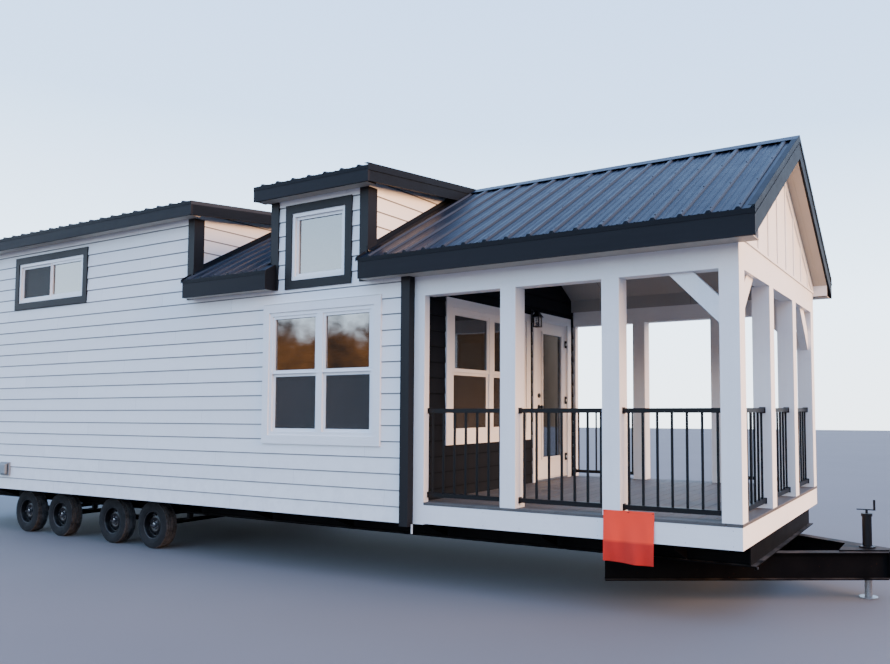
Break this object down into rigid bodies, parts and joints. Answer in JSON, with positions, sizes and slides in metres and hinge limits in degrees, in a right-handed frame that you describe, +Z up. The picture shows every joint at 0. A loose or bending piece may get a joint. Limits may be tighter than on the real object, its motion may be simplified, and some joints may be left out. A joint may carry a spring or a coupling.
{
  "type": "tiny house on wheels",
  "caption": "Tiny house on a towing frame with wheels, roofed front porch with railings, lap siding, dormers and a ribbed metal roof.",
  "frame": {"origin": "on the ground, under the middle of the outline", "axes": "+X towards the coupler at the porch end, +Y towards the far side with the porch entrance, +Z up"},
  "size_m": [14.46, 3.92, 4.6067],
  "materials": {
    "chassis_steel": "satin black paint",
    "jack_steel": "zinc plated",
    "wheel_rubber": "matte rubber on black steel rims",
    "floor_wood": "bare sheet",
    "joist_wood": "bare timber",
    "deck_composite": "brushed composite",
    "white_siding": "painted",
    "dark_siding": "painted",
    "white_trim": "painted",
    "black_trim": "painted",
    "roof_metal": "satin coil coating",
    "fascia_metal": "satin coil coating",
    "soffit_white": "matte",
    "railing_metal": "black powder coat",
    "window_vinyl": "white vinyl",
    "glass": "clear double glazing",
    "door_paint": "white paint",
    "black_hardware": "satin black",
    "outlet_plastic": "matte",
    "flag_cloth": "woven orange cloth"
  },
  "bodies": {
    "house": {"main_rails": "chassis_steel", "cross_members": "chassis_steel", "front_header": "chassis_steel", "drawbar": "chassis_steel", "coupler": "chassis_steel", "tongue_jack": "chassis_steel", "axles": "chassis_steel", "leaf_springs": "chassis_steel", "house_floor": "floor_wood", "porch_joists": "joist_wood", "porch_deck": "deck_composite", "porch_fascia": "white_trim", "near_wall": "white_siding", "far_wall": "white_siding", "rear_wall": "white_siding", "porch_wall_near": "dark_siding", "porch_wall_far": "dark_siding", "porch_wall_head": "dark_siding", "dormer_cheeks": "white_siding", "black_corner_boards": "black_trim", "white_pilasters": "white_trim", "porch_posts": "white_trim", "porch_beams": "white_trim", "front_gable": "white_trim", "knee_braces": "white_trim", "porch_ceiling": "soffit_white", "railing_near": "railing_metal", "railing_front": "railing_metal", "railing_far": "railing_metal", "roof_near": "roof_metal", "roof_far": "roof_metal", "dormer_roofs": "roof_metal", "ridge_caps": "roof_metal", "eave_fascias": "fascia_metal", "rake_fascias": "fascia_metal", "soffits": "soffit_white", "window_frames": "window_vinyl", "window_glass": "glass", "white_casings": "white_trim", "black_casings": "black_trim", "door_frame": "white_trim", "porch_lantern": "black_hardware", "outlet_box": "outlet_plastic", "transport_flag": "flag_cloth"},
    "door": {"door_leaf": "door_paint", "door_glass": "glass", "door_hinges": "black_hardware", "door_handle": "black_hardware"},
    "jack": {"jack_leg": "jack_steel"},
    "wheel_near_1": {"wheel_near_1": "wheel_rubber"},
    "wheel_near_2": {"wheel_near_2": "wheel_rubber"},
    "wheel_near_3": {"wheel_near_3": "wheel_rubber"},
    "wheel_near_4": {"wheel_near_4": "wheel_rubber"},
    "wheel_far_1": {"wheel_far_1": "wheel_rubber"},
    "wheel_far_2": {"wheel_far_2": "wheel_rubber"},
    "wheel_far_3": {"wheel_far_3": "wheel_rubber"},
    "wheel_far_4": {"wheel_far_4": "wheel_rubber"}
  },
  "joints": [
    {"name": "door_swing", "type": "hinge", "parent": "house", "child": "door", "pos_m": [2.767, 1.44, 0], "axis": [0, 0, 1], "range_deg": [0, 100]},
    {"name": "jack_slide", "type": "slide", "parent": "house", "child": "jack", "axis": [0, 0, 1], "range_m": [0, 0.16]},
    {"name": "wheel_near_1_spin", "type": "hinge", "parent": "house", "child": "wheel_near_1", "pos_m": [-1.7835, -1.585, 0.305], "axis": [0, 1, 0], "continuous": true},
    {"name": "wheel_near_2_spin", "type": "hinge", "parent": "house", "child": "wheel_near_2", "pos_m": [-2.6535, -1.585, 0.305], "axis": [0, 1, 0], "continuous": true},
    {"name": "wheel_near_3_spin", "type": "hinge", "parent": "house", "child": "wheel_near_3", "pos_m": [-3.9025, -1.585, 0.305], "axis": [0, 1, 0], "continuous": true},
    {"name": "wheel_near_4_spin", "type": "hinge", "parent": "house", "child": "wheel_near_4", "pos_m": [-4.7725, -1.585, 0.305], "axis": [0, 1, 0], "continuous": true},
    {"name": "wheel_far_1_spin", "type": "hinge", "parent": "house", "child": "wheel_far_1", "pos_m": [-1.7835, 1.585, 0.305], "axis": [0, 1, 0], "continuous": true},
    {"name": "wheel_far_2_spin", "type": "hinge", "parent": "house", "child": "wheel_far_2", "pos_m": [-2.6535, 1.585, 0.305], "axis": [0, 1, 0], "continuous": true},
    {"name": "wheel_far_3_spin", "type": "hinge", "parent": "house", "child": "wheel_far_3", "pos_m": [-3.9025, 1.585, 0.305], "axis": [0, 1, 0], "continuous": true},
    {"name": "wheel_far_4_spin", "type": "hinge", "parent": "house", "child": "wheel_far_4", "pos_m": [-4.7725, 1.585, 0.305], "axis": [0, 1, 0], "continuous": true}
  ]
}
